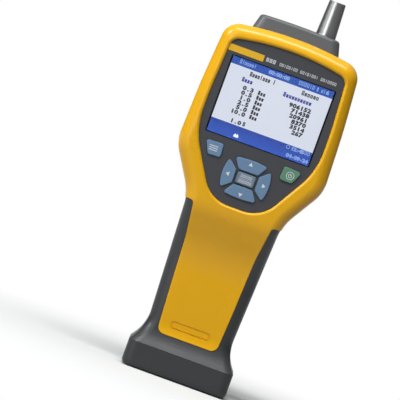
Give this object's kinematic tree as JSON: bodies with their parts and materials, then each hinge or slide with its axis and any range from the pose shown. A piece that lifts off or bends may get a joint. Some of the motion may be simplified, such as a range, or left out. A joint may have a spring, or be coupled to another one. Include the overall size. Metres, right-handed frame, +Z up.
{
  "type": "airborne particle counter",
  "caption": "Hand-held airborne particle counter: upright body with a colour display, push keys, an inlet probe on top, a grip and a flat base that it stands on.",
  "frame": {"origin": "centre of the footprint, on the surface that the counter stands on", "axes": "+Z up along the body, +X to the user's right, -Y towards the user (display side)"},
  "size_m": [0.1006, 0.053, 0.268],
  "materials": {
    "yellow_plastic": "satin moulded, fine texture",
    "dark_plastic": "fine moulded texture",
    "dark_rubber": "matt",
    "panel_plastic": "satin",
    "display_glass": "polished",
    "display_cell": "display, lit",
    "gasket_foam": "foam",
    "white_plastic": "moulded",
    "clear_rubber": "silicone",
    "green_board": "solder mask",
    "zinc_steel": "zinc plated",
    "polished_steel": "fine turned and polished",
    "seal_rubber": "matt",
    "black_aluminium": "black anodised",
    "brass": "turned",
    "mirror_metal": "polished",
    "clip_plastic": "moulded",
    "motor_steel": "nickel plated",
    "hose": "silicone",
    "battery_wrap": "shrink wrap",
    "socket_plastic": "moulded",
    "socket_steel": "tinned",
    "gold_contact": "gold plated",
    "green_key": "satin",
    "grey_key": "satin"
  },
  "bodies": {
    "housing": {"battery_door": "dark_plastic", "battery_pack": "battery_wrap", "beam_stop": "black_aluminium", "board_screws": "zinc_steel", "buzzer": "white_plastic", "cap_plate": "zinc_steel", "cap_screws": "zinc_steel", "charge_contacts": "gold_contact", "collecting_mirror": "mirror_metal", "connector_board": "green_board", "detector_board": "green_board", "display_frame": "white_plastic", "display_gasket": "gasket_foam", "display_module": "display_cell", "display_window": "display_glass", "door_screw": "zinc_steel", "exhaust_filter": "white_plastic", "exhaust_tube": "hose", "filter_clip": "clip_plastic", "filter_tube": "hose", "front_cover": "yellow_plastic", "front_housing": "dark_plastic", "front_panel": "panel_plastic", "housing_screws": "zinc_steel", "inlet_nut": "zinc_steel", "inlet_probe": "polished_steel", "inlet_seal": "seal_rubber", "inlet_tube": "hose", "keypad_mat": "clear_rubber", "laser_module": "brass", "main_board": "green_board", "network_socket": "socket_plastic", "port_bezel": "dark_plastic", "pump_clip": "clip_plastic", "pump_head": "clip_plastic", "pump_motor": "motor_steel", "pump_tube": "hose", "rear_housing": "dark_plastic", "sensor_barbs": "brass", "sensor_block": "black_aluminium", "sensor_standoffs": "brass", "top_cap": "dark_plastic", "usb_socket": "socket_steel"},
    "key_down": {"key_down": "grey_key"},
    "key_enter": {"key_enter": "grey_key"},
    "key_left": {"key_left": "grey_key"},
    "key_menu": {"key_menu": "grey_key"},
    "key_power": {"key_power": "green_key"},
    "key_right": {"key_right": "grey_key"},
    "key_up": {"key_up": "grey_key"},
    "port_door": {"port_door": "dark_rubber"}
  },
  "joints": [
    {"name": "key_down_press", "type": "slide", "parent": "housing", "child": "key_down", "axis": [0, 1, 0], "range_m": [0, 0.0006], "stiffness_N_per_m": 800, "springref_m": -0.0006},
    {"name": "key_enter_press", "type": "slide", "parent": "housing", "child": "key_enter", "axis": [0, 1, 0], "range_m": [0, 0.0006], "stiffness_N_per_m": 800, "springref_m": -0.0006},
    {"name": "key_left_press", "type": "slide", "parent": "housing", "child": "key_left", "axis": [0, 1, 0], "range_m": [0, 0.0006], "stiffness_N_per_m": 800, "springref_m": -0.0006},
    {"name": "key_menu_press", "type": "slide", "parent": "housing", "child": "key_menu", "axis": [0, 1, 0], "range_m": [0, 0.0006], "stiffness_N_per_m": 800, "springref_m": -0.0006},
    {"name": "key_power_press", "type": "slide", "parent": "housing", "child": "key_power", "axis": [0, 1, 0], "range_m": [0, 0.0006], "stiffness_N_per_m": 800, "springref_m": -0.0006},
    {"name": "key_right_press", "type": "slide", "parent": "housing", "child": "key_right", "axis": [0, 1, 0], "range_m": [0, 0.0006], "stiffness_N_per_m": 800, "springref_m": -0.0006},
    {"name": "key_up_press", "type": "slide", "parent": "housing", "child": "key_up", "axis": [0, 1, 0], "range_m": [0, 0.0006], "stiffness_N_per_m": 800, "springref_m": -0.0006},
    {"name": "port_door_hinge", "type": "hinge", "parent": "housing", "child": "port_door", "pos_m": [0, 0.0249, 0.0138], "axis": [1, 0, 0], "range_deg": [0, 95]}
  ]
}
